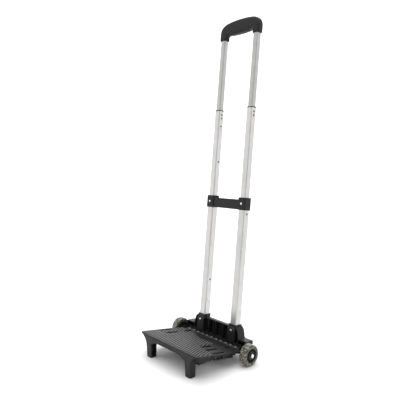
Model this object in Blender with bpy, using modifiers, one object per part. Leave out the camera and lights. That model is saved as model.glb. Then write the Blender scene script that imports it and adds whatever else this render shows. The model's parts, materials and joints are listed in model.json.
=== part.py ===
"""Folding luggage hand truck: telescoping twin poles, hinged load deck on two front legs, two wheels.

Units are metres and +Z is up.  +Y is the back, where the poles lean to, and the deck reaches out
towards -Y.  The origin is on the floor, at the centre of the footprint of the whole object.

Three local frames are used, each an empty:
  pole_frame  origin midway between the poles at the bracket's top, local Z along the leaning poles
  deck_frame  origin on the axle, local Y back along the sloping deck, local Z out of its top
  wheel_...   origin at a wheel's centre on the axle, local X along the axle
"""

import math

import bmesh
import bpy
from mathutils import Matrix, Vector

# ---------------------------------------------------------------- driving dimensions
GAP = 0.0003                          # between neighbouring pieces

LEAN = math.radians(5.76)             # of the poles, backwards
BRACKET_TOP_Z = 0.0903                # where the pole axes leave the bracket
POLE_Y = 0.0535                       # of the pole axes at that height
POLE_X = 0.06675                      # half the distance between the poles

AXLE_Y = POLE_Y - 0.0320
AXLE_Z = 0.0305
AXLE_RADIUS = 0.0040
AXLE_END = 0.1625

# tubes: width along X, depth along Y, corner radius
OUTER = (0.0250, 0.0230, 0.0035)
MIDDLE = (0.0215, 0.0195, 0.0032)
TOP = (0.0180, 0.0165, 0.0028)
TUBE_WALL = 0.0006

# heights along the poles, from the bracket's top
OUTER_FOOT = -0.0610
STOP_PIN = 0.0475
CROSSBAR_FOOT = 0.3420
CROSSBAR_HEIGHT = 0.0375
CROSSBAR_LIP = 0.0030
MIDDLE_FOOT = 0.3180
MIDDLE_PIN = 0.3310
MIDDLE_HEAD = 0.6480
COLLAR_HEIGHT = 0.0026
TOP_FOOT = 0.6120
TOP_PIN = MIDDLE_HEAD - 0.0227
TOP_HEAD = 0.8920
GRIP_FOOT = 0.8706
GRIP_UNDERSIDE = 0.8845
GRIP_CROWN = 0.9262

# deck, in its own frame
DECK_SLOPE = math.radians(10.4)        # down towards the back
DECK_TOP = 0.0050                     # above the axle's axis
DECK_FRONT = -0.1813
DECK_BACK = -0.0115
DECK_FRONT_HALF = 0.1260
DECK_BACK_HALF = 0.1300
DECK_LIP = 0.0042
DECK_CORE = 0.0100

# hinge
KNUCKLE_RADIUS = 0.0090
KNUCKLE_PITCH = 0.0200
DECK_KNUCKLE = 0.0127
HINGE_BORE = AXLE_RADIUS + GAP

# wheels
WHEEL_RADIUS = 0.0305
WHEEL_X = 0.1484
TYRE_HALF = 0.0120
HUB_HALF = 0.0104
HUB_RADIUS = 0.0195
BEARING_RADIUS = 0.0110
BEARING_WIDTH = 0.0070

# bracket, in the pole frame
TOWER_FRONT = -0.0175
TOWER_BACK = 0.0140
TOWER_INNER = 0.0520
TOWER_OUTER = 0.0815
BASE_FOOT = -0.0660
BASE_TOP = -0.0500
CHEEK_INNER = 0.1235
CHEEK_OUTER = 0.1275
FLANGE_TOP = -0.0350

BLACK = (0.022, 0.022, 0.024, 1.0)
ALUMINIUM = (0.62, 0.63, 0.65, 1.0)
STEEL = (0.55, 0.55, 0.56, 1.0)
CLEAR_URETHANE = (0.55, 0.58, 0.50, 1.0)

SIDES = (("left", -1), ("right", 1))


# ---------------------------------------------------------------- scene and materials
def clear_scene():
    for old in list(bpy.data.objects):
        bpy.data.objects.remove(old, do_unlink=True)


def new_collection(name):
    collection = bpy.data.collections.new(name)
    bpy.context.scene.collection.children.link(collection)
    return collection


def frame_empty(name, location, rotation_x, parent=None):
    empty = bpy.data.objects.new(name, None)
    PARTS.objects.link(empty)
    empty.location = location
    empty.rotation_euler = (rotation_x, 0, 0)
    empty.parent = parent
    return empty


def finish(piece, frame, colour, roughness, metallic, location=(0, 0, 0), smooth=True):
    """Puts a piece in its frame and gives it a material of its own."""
    PARTS.objects.link(piece)
    piece.parent = frame
    piece.location = location
    material = bpy.data.materials.new(piece.name)
    material.use_nodes = True
    shader = material.node_tree.nodes["Principled BSDF"]
    shader.inputs["Base Color"].default_value = colour
    shader.inputs["Roughness"].default_value = roughness
    shader.inputs["Metallic"].default_value = metallic
    piece.data.materials.append(material)
    if smooth:
        piece.data.shade_smooth()
        piece.data.set_sharp_from_angle(angle=math.radians(35))
    return piece


def plastic(piece, frame, location=(0, 0, 0)):
    return finish(piece, frame, BLACK, 0.5, 0.0, location)


def metal(piece, frame, location=(0, 0, 0), colour=STEEL):
    return finish(piece, frame, colour, 0.3, 1.0, location)


# ---------------------------------------------------------------- shapes
def rounded_rectangle(width, depth, radius, steps=3):
    """Anticlockwise outline, centred."""
    points = []
    for sign_x, sign_y, start in ((1, 1, 0), (-1, 1, 90), (-1, -1, 180), (1, -1, 270)):
        for step in range(steps + 1):
            angle = math.radians(start + 90 * step / steps)
            x = sign_x * (width / 2 - radius) + radius * math.cos(angle)
            y = sign_y * (depth / 2 - radius) + radius * math.sin(angle)
            points.append((x, y))
    return points


def moved(outline, dx, dy):
    return [(x + dx, y + dy) for x, y in outline]


def inset(outline, distance):
    """Moves each point of an anticlockwise outline inwards by the same distance."""
    count = len(outline)
    result = []
    for index, point in enumerate(outline):
        here = Vector(point)
        before = (here - Vector(outline[index - 1])).normalized()
        after = (Vector(outline[(index + 1) % count]) - here).normalized()
        tangent = (before + after).normalized()
        normal = Vector((-tangent.y, tangent.x))
        spread = max(0.5, normal.dot(Vector((-before.y, before.x))))
        result.append(tuple(here + normal * distance / spread))
    return result


def mesh_object(name, bm):
    bmesh.ops.recalc_face_normals(bm, faces=bm.faces)
    mesh = bpy.data.meshes.new(name)
    bm.to_mesh(mesh)
    bm.free()
    return bpy.data.objects.new(name, mesh)


def prism(name, loops, low, high, along="Z"):
    """Solid between two planes from a flat outline; any further loops are holes in it.

    The outline's two coordinates are X and Y, or Y and Z along X, or X and Z along Y.
    """
    curve = bpy.data.curves.new(name, "CURVE")
    curve.dimensions = "2D"
    curve.fill_mode = "BOTH"
    curve.extrude = (high - low) / 2
    for loop in loops:
        spline = curve.splines.new("POLY")
        spline.points.add(len(loop) - 1)
        for point, (x, y) in zip(spline.points, loop):
            point.co = (x, y, 0, 1)
        spline.use_cyclic_u = True
    holder = bpy.data.objects.new(name, curve)
    bpy.context.scene.collection.objects.link(holder)
    depsgraph = bpy.context.evaluated_depsgraph_get()
    mesh = bpy.data.meshes.new_from_object(holder.evaluated_get(depsgraph))
    bpy.data.objects.remove(holder)
    bpy.data.curves.remove(curve)
    bm = bmesh.new()
    bm.from_mesh(mesh)
    bpy.data.meshes.remove(mesh)
    bmesh.ops.remove_doubles(bm, verts=bm.verts, dist=0.00001)
    bm.transform(Matrix.Translation((0, 0, (low + high) / 2)))
    if along == "X":
        bm.transform(Matrix(((0, 0, 1, 0), (1, 0, 0, 0), (0, 1, 0, 0), (0, 0, 0, 1))))
    if along == "Y":
        bm.transform(Matrix(((1, 0, 0, 0), (0, 0, 1, 0), (0, 1, 0, 0), (0, 0, 0, 1))))
    return mesh_object(name, bm)


def loft(name, sections):
    """Closed solid through rings of the same number of 3-D points, with flat ends."""
    bm = bmesh.new()
    rings = []
    for section in sections:
        rings.append([bm.verts.new(point) for point in section])
    for lower, upper in zip(rings, rings[1:]):
        count = len(lower)
        for index in range(count):
            after = (index + 1) % count
            bm.faces.new((lower[index], lower[after], upper[after], upper[index]))
    bmesh.ops.triangulate(bm, faces=bm.faces)
    bm.faces.new(rings[0])
    bm.faces.new(rings[-1])
    return mesh_object(name, bm)


def boxes(name, corners):
    """One or more separate boxes, each from its low and its high corner."""
    bm = bmesh.new()
    for low, high in corners:
        size = Vector(high) - Vector(low)
        centre = (Vector(high) + Vector(low)) / 2
        matrix = Matrix.Translation(centre) @ Matrix.Diagonal((size.x, size.y, size.z, 1))
        bmesh.ops.create_cube(bm, size=1, matrix=matrix)
    return mesh_object(name, bm)


def rods(name, radius, spans, along="X", segments=24):
    """One or more round bars of one radius, each from its start to its end point along an axis."""
    turn = {"X": Matrix.Rotation(math.radians(90), 4, "Y"),
            "Y": Matrix.Rotation(math.radians(90), 4, "X"),
            "Z": Matrix.Identity(4)}[along]
    bm = bmesh.new()
    for start, end in spans:
        centre = (Vector(start) + Vector(end)) / 2
        length = (Vector(end) - Vector(start)).length
        bmesh.ops.create_cone(bm, cap_ends=True, segments=segments, radius1=radius,
                              radius2=radius, depth=length,
                              matrix=Matrix.Translation(centre) @ turn)
    return mesh_object(name, bm)


def turned(name, profile, segments):
    """A profile of (radius, height) pairs, top to bottom, spun about local X by a Screw modifier."""
    bm = bmesh.new()
    points = [bm.verts.new((0, radius, height)) for radius, height in profile]
    for upper, lower in zip(points, points[1:]):
        bm.edges.new((upper, lower))
    if profile[0][0] > 0:
        bm.edges.new((points[-1], points[0]))
    bm.transform(Matrix.Rotation(math.radians(-90), 4, "Z"))
    mesh = bpy.data.meshes.new(name)
    bm.to_mesh(mesh)
    bm.free()
    piece = bpy.data.objects.new(name, mesh)
    screw = piece.modifiers.new("turned", "SCREW")
    screw.axis = "Z"
    screw.steps = segments
    screw.render_steps = segments
    screw.use_merge_vertices = True
    screw.merge_threshold = 0.00001
    screw.use_smooth_shade = True
    return piece


def combine(target, tool, operation, frame):
    """Boolean with a tool that stays in the cutters' collection, in the same frame."""
    CUTTERS.objects.link(tool)
    tool.parent = frame
    tool.hide_render = True
    tool.display_type = "WIRE"
    boolean = target.modifiers.new(tool.name, "BOOLEAN")
    boolean.operation = operation
    boolean.solver = "EXACT"
    boolean.object = tool
    return tool


def add(target, tool, frame):
    return combine(target, tool, "UNION", frame)


def cut(target, tool, frame):
    return combine(target, tool, "DIFFERENCE", frame)


# ---------------------------------------------------------------- poles
def grown(section, margin):
    width, depth, radius = section
    corner = max(0.0008, radius + margin)
    return rounded_rectangle(width + 2 * margin, depth + 2 * margin, corner)


def tube(name, section, low, high, holes, side):
    """Drawn tube with drilled walls; holes are (height, radius, inner wall, outer wall)."""
    loops = [grown(section, 0), grown(section, -TUBE_WALL)]
    piece = prism(name, loops, low, high)
    half = section[0] / 2 + 0.002
    for index, (height, radius, inner, outer) in enumerate(holes):
        start = -side * half if inner else 0
        end = side * half if outer else 0
        drill = rods(f"{name}_drill_{index}", radius, [((start, 0, height), (end, 0, height))],
                     segments=12)
        cut(piece, drill, POLE_FRAMES[name])
        drill.location = (side * POLE_X, 0, 0)
    return piece


def make_tubes(side_name, side):
    x = side * POLE_X
    outer_holes = ((STOP_PIN, 0.0019, True, True),
                   (0.1110, 0.0019, True, False),
                   (MIDDLE_PIN, 0.0022, False, True))
    middle_holes = ((MIDDLE_PIN, 0.0023, False, True),
                    (MIDDLE_HEAD - 0.1610, 0.0018, True, False),
                    (MIDDLE_HEAD - 0.0480, 0.0018, True, False),
                    (TOP_PIN, 0.0022, True, True),
                    (MIDDLE_HEAD - 0.0116, 0.0018, True, True))
    top_holes = ((TOP_PIN, 0.0023, False, True),)
    plan = (("outer_tube_", OUTER, OUTER_FOOT, CROSSBAR_FOOT + CROSSBAR_HEIGHT - CROSSBAR_LIP,
             outer_holes, POLE),
            ("middle_tube_", MIDDLE, MIDDLE_FOOT, MIDDLE_HEAD, middle_holes, MIDDLE_STAGE),
            ("top_tube_", TOP, TOP_FOOT, TOP_HEAD, top_holes, TOP_STAGE))
    for prefix, section, low, high, holes, frame in plan:
        name = prefix + side_name
        POLE_FRAMES[name] = frame
        piece = tube(name, section, low, high, holes, side)
        metal(piece, frame, (x, 0, 0), ALUMINIUM)


def sleeve(name, frame, x, outer, inner, low, high, flange=None):
    """Guide bush: a thin sleeve, with a flange on top where one is given as (section, height)."""
    piece = prism(name, [outer, inner], low, high)
    if flange:
        section, height = flange
        rim = prism(name + "_flange", [section, inner], high - 0.0001, high + height)
        add(piece, rim, frame)
        rim.location = (x, 0, 0)
    plastic(piece, frame, (x, 0, 0))


def make_bushes(side_name, side):
    x = side * POLE_X
    bore = -TUBE_WALL - GAP
    top_of_outer = CROSSBAR_FOOT + CROSSBAR_HEIGHT - CROSSBAR_LIP
    sleeve("outer_bush_" + side_name, POLE, x, grown(OUTER, bore), grown(MIDDLE, GAP),
           top_of_outer - 0.0240, top_of_outer)
    sleeve("middle_collar_" + side_name, MIDDLE_STAGE, x, grown(MIDDLE, bore), grown(TOP, GAP),
           MIDDLE_HEAD - 0.0090, MIDDLE_HEAD + GAP, (grown(MIDDLE, 0.0006), COLLAR_HEIGHT))


def make_lock(side_name, side, stage, frame, section, outside, foot, pin_height):
    """Lock block in the foot of a tube, its sprung pin, and the spring behind the pin."""
    x = side * POLE_X
    width = section[0] - 2 * TUBE_WALL
    plug = grown(section, -TUBE_WALL - GAP)
    block = prism(f"{stage}_lock_block_{side_name}", [plug], foot + GAP, pin_height + 0.0060)
    shoe = prism(f"{stage}_shoe_{side_name}", [grown(outside, -TUBE_WALL - GAP)],
                 foot - 0.0040, foot - GAP)
    neck = prism(f"{stage}_neck_{side_name}", [grown(section, -0.0030)], foot - 0.0010,
                 foot + 0.0010)
    bore = rods(f"{stage}_pin_bore_{side_name}", 0.0020 + GAP,
                [((-side * 0.0050, 0, pin_height), (side * width, 0, pin_height))], segments=16)
    for tool in (shoe, neck):
        add(block, tool, frame)
        tool.location = (x, 0, 0)
    cut(block, bore, frame)
    bore.location = (x, 0, 0)
    plastic(block, frame, (x, 0, 0))

    tip = outside[0] / 2 - TUBE_WALL - GAP
    tail = -0.0010
    pin = rods(f"{stage}_lock_pin_{side_name}", 0.0020,
               [((side * tail, 0, 0), (side * tip, 0, 0))], segments=12)
    metal(pin, frame, (x, 0, pin_height))

    make_coil(f"{stage}_pin_spring_{side_name}", frame, (x - side * 0.0047, 0, pin_height),
              (side, 0, 0), 0.0014, 0.00022, 0.0019, 3)


def make_coil(name, frame, start, direction, radius, wire, length, turns):
    """Closed-ended wire helix along local X or Z."""
    curve = bpy.data.curves.new(name, "CURVE")
    curve.dimensions = "3D"
    curve.bevel_depth = wire
    curve.bevel_resolution = 0
    curve.use_fill_caps = True
    steps = turns * 8
    spline = curve.splines.new("POLY")
    spline.points.add(steps)
    forward = Vector(direction)
    across = Vector((0, 1, 0))
    up = forward.cross(across)
    for index, point in enumerate(spline.points):
        angle = 2 * math.pi * index / 8
        place = (forward * (wire + (length - 2 * wire) * index / steps)
                 + across * radius * math.cos(angle) + up * radius * math.sin(angle))
        point.co = (*place, 1)
    holder = bpy.data.objects.new(name + "_wire", curve)
    bpy.context.scene.collection.objects.link(holder)
    depsgraph = bpy.context.evaluated_depsgraph_get()
    mesh = bpy.data.meshes.new_from_object(holder.evaluated_get(depsgraph))
    bpy.data.objects.remove(holder)
    bpy.data.curves.remove(curve)
    bm = bmesh.new()
    bm.from_mesh(mesh)
    bpy.data.meshes.remove(mesh)
    bmesh.ops.remove_doubles(bm, verts=bm.verts, dist=0.000005)
    metal(mesh_object(name, bm), frame, start)


def screw_piece(name, frame, location, head_radius, head_height, shank_radius, shank_length):
    """Domed screw with its head towards local -Y and a straight cross recess."""
    profile = [(0.0, head_height)]
    for step in range(1, 4):
        angle = math.radians(30 * step)
        profile.append((head_radius * math.sin(angle), head_height * (0.45 + 0.55 * math.cos(angle))))
    profile += [(head_radius, 0.0), (shank_radius, 0.0), (shank_radius, -shank_length),
                (0.0, -shank_length)]
    piece = turned(name, profile, 16)
    piece.rotation_euler = (math.radians(90), 0, 0)
    arm = 0.62 * head_radius
    slot = 0.10 * head_radius
    floor = 0.45 * head_height
    recess = boxes(name + "_recess", [((-arm, -slot, floor), (arm, slot, head_height * 2))])
    cut(piece, recess, frame)
    recess.location = location
    recess.rotation_euler = (math.radians(90), 0, 0)
    metal(piece, frame, location)


# ---------------------------------------------------------------- crossbar
def make_crossbar():
    """Moulded spacer: a socket round each outer tube's top and a flat bar between them."""
    top = CROSSBAR_FOOT + CROSSBAR_HEIGHT
    socket_width = 0.0300
    socket_depth = 0.0280
    bar = boxes("crossbar", [((-POLE_X, -0.0108, CROSSBAR_FOOT + 0.0008),
                              (POLE_X, 0.0092, top - 0.0065))])
    for side_name, side in SIDES:
        x = side * POLE_X
        outline = moved(rounded_rectangle(socket_width, socket_depth, 0.0040), x, 0)
        add(bar, prism("crossbar_socket_" + side_name, [outline], CROSSBAR_FOOT, top), POLE)
    for side_name, side in SIDES:
        x = side * POLE_X
        pocket = prism("crossbar_pocket_" + side_name, [moved(grown(OUTER, GAP), x, 0)],
                       CROSSBAR_FOOT - 0.010, top - CROSSBAR_LIP + GAP)
        cut(bar, pocket, POLE)
        mouth = prism("crossbar_mouth_" + side_name, [moved(grown(MIDDLE, GAP), x, 0)],
                      top - 0.010, top + 0.010)
        cut(bar, mouth, POLE)
        hole = rods("crossbar_screw_hole_" + side_name, 0.0015 + GAP,
                    [((x, -0.020, CROSSBAR_FOOT + 0.0189), (x, -0.008, CROSSBAR_FOOT + 0.0189))],
                    along="Y", segments=12)
        cut(bar, hole, POLE)
        screw_piece("crossbar_screw_" + side_name, POLE,
                    (x, -socket_depth / 2 - GAP, CROSSBAR_FOOT + 0.0189), 0.0033, 0.0018,
                    0.0015, 0.0019)
    hollow = boxes("crossbar_hollow", [((-0.0490, -0.0083, CROSSBAR_FOOT - 0.010),
                                        (0.0490, 0.0067, top - 0.0090))])
    cut(bar, hollow, POLE)
    plastic(bar, POLE)


# ---------------------------------------------------------------- bracket
def tower_section(side, low_x, high_x, front, back, height):
    width = high_x - low_x
    depth = back - front
    outline = rounded_rectangle(width, depth, 0.0022, 2)
    x = side * (low_x + high_x) / 2
    y = (front + back) / 2
    return [(x + px, y + py, height) for px, py in outline]


def make_tower(side_name, side):
    """Box round the foot of an outer tube, its top flared like a collar."""
    sections = [tower_section(side, TOWER_INNER, TOWER_OUTER, TOWER_FRONT, TOWER_BACK, BASE_FOOT),
                tower_section(side, TOWER_INNER, TOWER_OUTER, TOWER_FRONT, TOWER_BACK, -0.0150),
                tower_section(side, 0.0524, 0.0811, -0.0140, 0.0134, -0.0060),
                tower_section(side, 0.0518, 0.0817, -0.0142, 0.0138, 0.0000)]
    return loft("bracket_tower_" + side_name, sections)


def gusset_arc(margin):
    """Quarter round that swells out from a tower's collar and comes down on the base."""
    points = []
    for step in range(7):
        angle = math.radians(15 * step)
        points.append((0.0795 + (0.0160 - margin) * math.sin(angle),
                       FLANGE_TOP - 0.0070 + (0.0385 - margin) * math.cos(angle)))
    return points


def mirrored(side, outline):
    return [(side * x, height) for x, height in outline]


def cheek_outline():
    """End plate in the Y-Z plane: a round nose about the axle, rising to the flange behind it."""
    centre_y, centre_z = AXLE_IN_POLE
    points = [(TOWER_BACK, BASE_FOOT), (TOWER_BACK, FLANGE_TOP - 0.0005),
              (-0.0160, FLANGE_TOP - 0.0005), (-0.0185, FLANGE_TOP - 0.0040),
              (-0.0185, centre_z + KNUCKLE_RADIUS)]
    for step in range(9):
        angle = math.radians(90 + 180 * step / 8)
        points.append((centre_y + KNUCKLE_RADIUS * math.cos(angle),
                       centre_z + KNUCKLE_RADIUS * math.sin(angle)))
    return points


def knuckle_bar_outline():
    """Round bar about the axle with a web back to the base, in the Y-Z plane."""
    centre_y, centre_z = AXLE_IN_POLE
    points = [(TOWER_FRONT + 0.0035, BASE_FOOT), (TOWER_FRONT + 0.0035, centre_z + KNUCKLE_RADIUS)]
    for step in range(9):
        angle = math.radians(90 + 180 * step / 8)
        points.append((centre_y + KNUCKLE_RADIUS * math.cos(angle),
                       centre_z + KNUCKLE_RADIUS * math.sin(angle)))
    return points


def make_bracket():
    """One moulding: two towers, ribbed panel, side gussets, hollow base, hinge knuckles."""
    centre_y, centre_z = AXLE_IN_POLE
    bracket = boxes("base_bracket", [((-CHEEK_OUTER, -0.0145, BASE_FOOT),
                                      (CHEEK_OUTER, TOWER_BACK, BASE_TOP))])
    half_bar = 5.5 * KNUCKLE_PITCH + 0.0034
    for side_name, side in SIDES:
        add(bracket, make_tower(side_name, side), POLE)
        foot = BASE_TOP - 0.0010
        arc = gusset_arc(0.0)
        arc += [(arc[-1][0], foot), (arc[-1][0] - 0.0024, foot)] + gusset_arc(0.0024)[::-1]
        wall = prism("bracket_gusset_" + side_name, [mirrored(side, arc)], -0.0150,
                     TOWER_BACK - 0.0002, "Y")
        add(bracket, wall, POLE)
        back = gusset_arc(0.0008)
        back += [(back[-1][0], foot), (0.0790, foot)]
        add(bracket, prism("bracket_back_" + side_name, [mirrored(side, back)],
                           TOWER_BACK - 0.0024, TOWER_BACK - 0.0004, "Y"), POLE)
        flange = [(0.0940, FLANGE_TOP - 0.0034), (CHEEK_OUTER - 0.0002, FLANGE_TOP - 0.0034),
                  (CHEEK_OUTER - 0.0002, FLANGE_TOP), (0.0990, FLANGE_TOP), (0.0965, FLANGE_TOP + 0.0012),
                  (0.0948, FLANGE_TOP + 0.0040), (0.0940, FLANGE_TOP + 0.0040)]
        add(bracket, prism("bracket_flange_" + side_name, [mirrored(side, flange)], -0.0155,
                           TOWER_BACK - 0.0006, "Y"), POLE)
        low, high = sorted((side * 0.0945, side * (CHEEK_OUTER - 0.0010)))
        web = boxes("bracket_web_" + side_name, [((low, TOWER_BACK - 0.0030, foot),
                                                  (high, TOWER_BACK - 0.0008, FLANGE_TOP - 0.0010))])
        add(bracket, web, POLE)
        low, high = sorted((side * CHEEK_INNER, side * CHEEK_OUTER))
        add(bracket, prism("bracket_cheek_" + side_name, [cheek_outline()], low, high, "X"), POLE)
    add(bracket, prism("bracket_knuckles", [knuckle_bar_outline()], -half_bar, half_bar, "X"), POLE)

    panel = [((-TOWER_INNER - 0.001, -0.0010, BASE_TOP - 0.001), (TOWER_INNER + 0.001, 0.0020, -0.0075))]
    add(bracket, boxes("bracket_panel", panel), POLE)
    ledge = [((-TOWER_INNER - 0.001, -0.0113, -0.0105), (TOWER_INNER + 0.001, 0.0015, -0.0072))]
    add(bracket, boxes("bracket_ledge", ledge), POLE)
    for index in range(7):
        x = (index - 3) * 0.0150
        front = -0.0163 if index in (1, 3, 5) else -0.0085
        rib = [((x - 0.0012, front, BASE_TOP - 0.001), (x + 0.0012, 0.0000, -0.0095))]
        add(bracket, boxes(f"bracket_panel_rib_{index}", rib), POLE)

    slots = []
    for index in range(-5, 6):
        x = index * KNUCKLE_PITCH
        half = DECK_KNUCKLE / 2 + GAP
        slots.append(((x - half, centre_y - 0.015, BASE_FOOT - 0.010),
                      (x + half, centre_y + KNUCKLE_RADIUS + 0.0007, -0.0470)))
    cut(bracket, boxes("bracket_knuckle_slots", slots), POLE)
    hollows = [((-0.0485, -0.0115, BASE_FOOT - 0.010), (0.0485, TOWER_BACK - 0.0030, -0.0530)),
               ((0.0850, -0.0115, BASE_FOOT - 0.010), (0.1190, TOWER_BACK - 0.0030, -0.0530)),
               ((-0.1190, -0.0115, BASE_FOOT - 0.010), (-0.0850, TOWER_BACK - 0.0030, -0.0530))]
    cut(bracket, boxes("bracket_hollows", hollows), POLE)
    for side_name, side in SIDES:
        x = side * POLE_X
        pocket = prism("bracket_pocket_" + side_name, [moved(grown(OUTER, GAP), x, 0)],
                       OUTER_FOOT - GAP, 0.020)
        cut(bracket, pocket, POLE)
        hole = rods("bracket_screw_hole_" + side_name, 0.0015 + GAP,
                    [((x, -0.025, -0.0170), (x, -0.013, -0.0170))], along="Y", segments=12)
        cut(bracket, hole, POLE)
        screw_piece("bracket_screw_" + side_name, POLE, (x, TOWER_FRONT - GAP, -0.0170),
                    0.0033, 0.0018, 0.0015, 0.0040)
    bore = rods("bracket_axle_bore", HINGE_BORE, [((-0.14, centre_y, centre_z), (0.14, centre_y, centre_z))])
    cut(bracket, bore, POLE)
    plastic(bracket, POLE)


def make_stop_pins(side_name, side):
    """Rivet through the foot of each outer tube, on which the middle tube comes to rest."""
    half = OUTER[0] / 2 + GAP
    head = 0.0006
    profile = [(0.0, half + head), (0.0022, half + head), (0.0026, half), (0.0016, half),
               (0.0016, -half), (0.0026, -half), (0.0022, -half - head), (0.0, -half - head)]
    rivet = turned("tube_stop_pin_" + side_name, profile, 12)
    rivet.rotation_euler = (0, math.radians(90), 0)
    metal(rivet, POLE, (side * POLE_X, 0, STOP_PIN))


# ---------------------------------------------------------------- grip and release
def grip_outline():
    """Front view of the grip, anticlockwise in X and height along the poles."""
    half_leg_out = 0.0803
    half_leg_in = 0.0541
    fillet = 0.0045
    right = [(0.0803, 0.8920), (0.0793, 0.9010), (0.0764, 0.9080), (0.0708, 0.9145),
             (0.0620, 0.9195), (0.0500, 0.9228), (0.0340, 0.9248), (0.0170, 0.9258)]
    points = [(half_leg_in, GRIP_FOOT), (half_leg_out, GRIP_FOOT)]
    points += right
    points.append((0.0, GRIP_CROWN))
    points += [(-x, height) for x, height in right[::-1]]
    points += [(-half_leg_out, GRIP_FOOT), (-half_leg_in, GRIP_FOOT)]
    for side in (-1, 1):
        corner = []
        for step in range(4):
            angle = math.radians(30 * step)
            corner.append((side * (half_leg_in - fillet + fillet * math.cos(angle)),
                           GRIP_UNDERSIDE - fillet + fillet * math.sin(angle)))
        points += corner if side < 0 else corner[::-1]
    return points


def grip_shell(name, side_y):
    """Half of the handle: the outline, rounded towards its outer face and hollow inside."""
    outline = grip_outline()
    sections = []
    for depth, margin in ((0.0, 0.0), (0.0052, 0.0), (0.0084, 0.0009), (0.0102, 0.0024),
                          (0.0110, 0.0048)):
        ring = inset(outline, margin) if margin else outline
        y = side_y * (GAP / 2 + depth * (0.0110 - GAP / 2) / 0.0110)
        sections.append([(x, y, z) for x, z in ring])
    shell = loft(name, sections)
    cavity = [(0.0778, 0.8950), (0.0768, 0.9005), (0.0742, 0.9066), (0.0692, 0.9124),
              (0.0608, 0.9171), (0.0490, 0.9203), (0.0250, 0.9230), (-0.0250, 0.9230),
              (-0.0490, 0.9203), (-0.0608, 0.9171), (-0.0692, 0.9124), (-0.0742, 0.9066),
              (-0.0768, 0.9005), (-0.0778, 0.8950), (-0.0520, 0.8872), (0.0520, 0.8872)]
    low, high = sorted((-side_y * 0.0020, side_y * 0.0084))
    cut(shell, prism(name + "_cavity", [cavity], low, high, "Y"), TOP_STAGE)
    for side_name, side in SIDES:
        low, high = sorted((0.0, side_y * 0.0075))
        boss = rods(f"{name}_boss_{side_name}", 0.0032,
                    [((side * 0.0480, side_y * (GAP / 2), 0.9120), (side * 0.0480, side_y * 0.0095, 0.9120))],
                    along="Y", segments=16)
        add(shell, boss, TOP_STAGE)
    for side_name, side in SIDES:
        socket = prism(f"{name}_socket_{side_name}", [moved(grown(TOP, GAP), side * POLE_X, 0)],
                       GRIP_FOOT - 0.010, TOP_HEAD + 0.0045)
        cut(shell, socket, TOP_STAGE)
        hole = rods(f"{name}_hole_{side_name}", 0.0013 + GAP,
                    [((side * 0.0480, side_y * -0.001, 0.9120),
                      (side * 0.0480, side_y * (0.020 if side_y > 0 else 0.0070), 0.9120))],
                    along="Y", segments=12)
        cut(shell, hole, TOP_STAGE)
        if side_y > 0:
            recess = rods(f"{name}_recess_{side_name}", 0.0029 + GAP,
                          [((side * 0.0480, 0.0088, 0.9120), (side * 0.0480, 0.020, 0.9120))],
                          along="Y", segments=16)
            cut(shell, recess, TOP_STAGE)
    mouth = boxes(name + "_button_mouth", [((-0.0375, -0.0068, 0.8750), (0.0375, 0.0068, 0.8890))])
    cut(shell, mouth, TOP_STAGE)
    plastic(shell, TOP_STAGE)


def make_grip():
    grip_shell("grip_front", -1)
    grip_shell("grip_back", 1)
    for side_name, side in SIDES:
        name = "grip_screw_" + side_name
        profile = [(0.0, 0.0016), (0.0026, 0.0012), (0.0029, 0.0), (0.0013, 0.0),
                   (0.0013, -0.0140), (0.0, -0.0140)]
        piece = turned(name, profile, 12)
        piece.rotation_euler = (math.radians(-90), 0, 0)
        metal(piece, TOP_STAGE, (side * 0.0480, 0.0088 + GAP, 0.9120))


def make_release():
    """Button in the grip's underside with a yoke across to the two release rods."""
    bottom = [(x, GRIP_UNDERSIDE - 0.0024 + 0.0024 * (x / 0.0370) ** 2)
              for x in (-0.0370, -0.0300, -0.0200, -0.0100, 0.0, 0.0100, 0.0200, 0.0300, 0.0370)]
    outline = bottom + [(0.0370, 0.8965), (-0.0370, 0.8965)]
    button = prism("release_button", [outline], -0.0064, 0.0064, "Y")
    yoke = boxes("button_yoke", [((-0.0705, -0.0040, 0.8968), (0.0705, 0.0040, 0.9000))])
    stem = boxes("button_stem", [((-0.0300, -0.0064, 0.8960), (0.0300, 0.0064, 0.8990))])
    add(button, stem, BUTTON)
    add(button, yoke, BUTTON)
    plastic(button, BUTTON)
    for side_name, side in SIDES:
        rod = rods("release_rod_" + side_name, 0.0013,
                   [((0, 0, TOP_PIN + 0.0070), (0, 0, 0.8968 - GAP))], along="Z", segments=10)
        metal(rod, BUTTON, (side * POLE_X, 0, 0), ALUMINIUM)
        make_coil("button_spring_" + side_name, TOP_STAGE, (side * 0.0240, 0, 0.9040),
                  (0, 0, 1), 0.0028, 0.00035, 0.0160, 6)


# ---------------------------------------------------------------- deck
def deck_outline(margin):
    """Plan of the deck, wider at the back, with rounded corners."""
    front = DECK_FRONT + margin
    back = DECK_BACK - margin
    corners = (((DECK_BACK_HALF - margin), back, 0, 1),
               (-(DECK_BACK_HALF - margin), back, 90, 1),
               (-(DECK_FRONT_HALF - margin), front, 180, -1),
               ((DECK_FRONT_HALF - margin), front, 270, -1))
    points = []
    for x, y, start, sign_y in corners:
        radius = 0.0100 if sign_y < 0 else 0.0130
        sign_x = 1 if x > 0 else -1
        for step in range(5):
            angle = math.radians(start + 90 * step / 4)
            points.append((x - sign_x * radius + radius * math.cos(angle),
                           y - sign_y * radius + radius * math.sin(angle)))
    return points


def upright(tool):
    """Turns a piece drawn about the axle with a true vertical Z into the sloping deck frame."""
    tool.data.transform(Matrix.Rotation(DECK_SLOPE, 4, "X"))
    return tool


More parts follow.
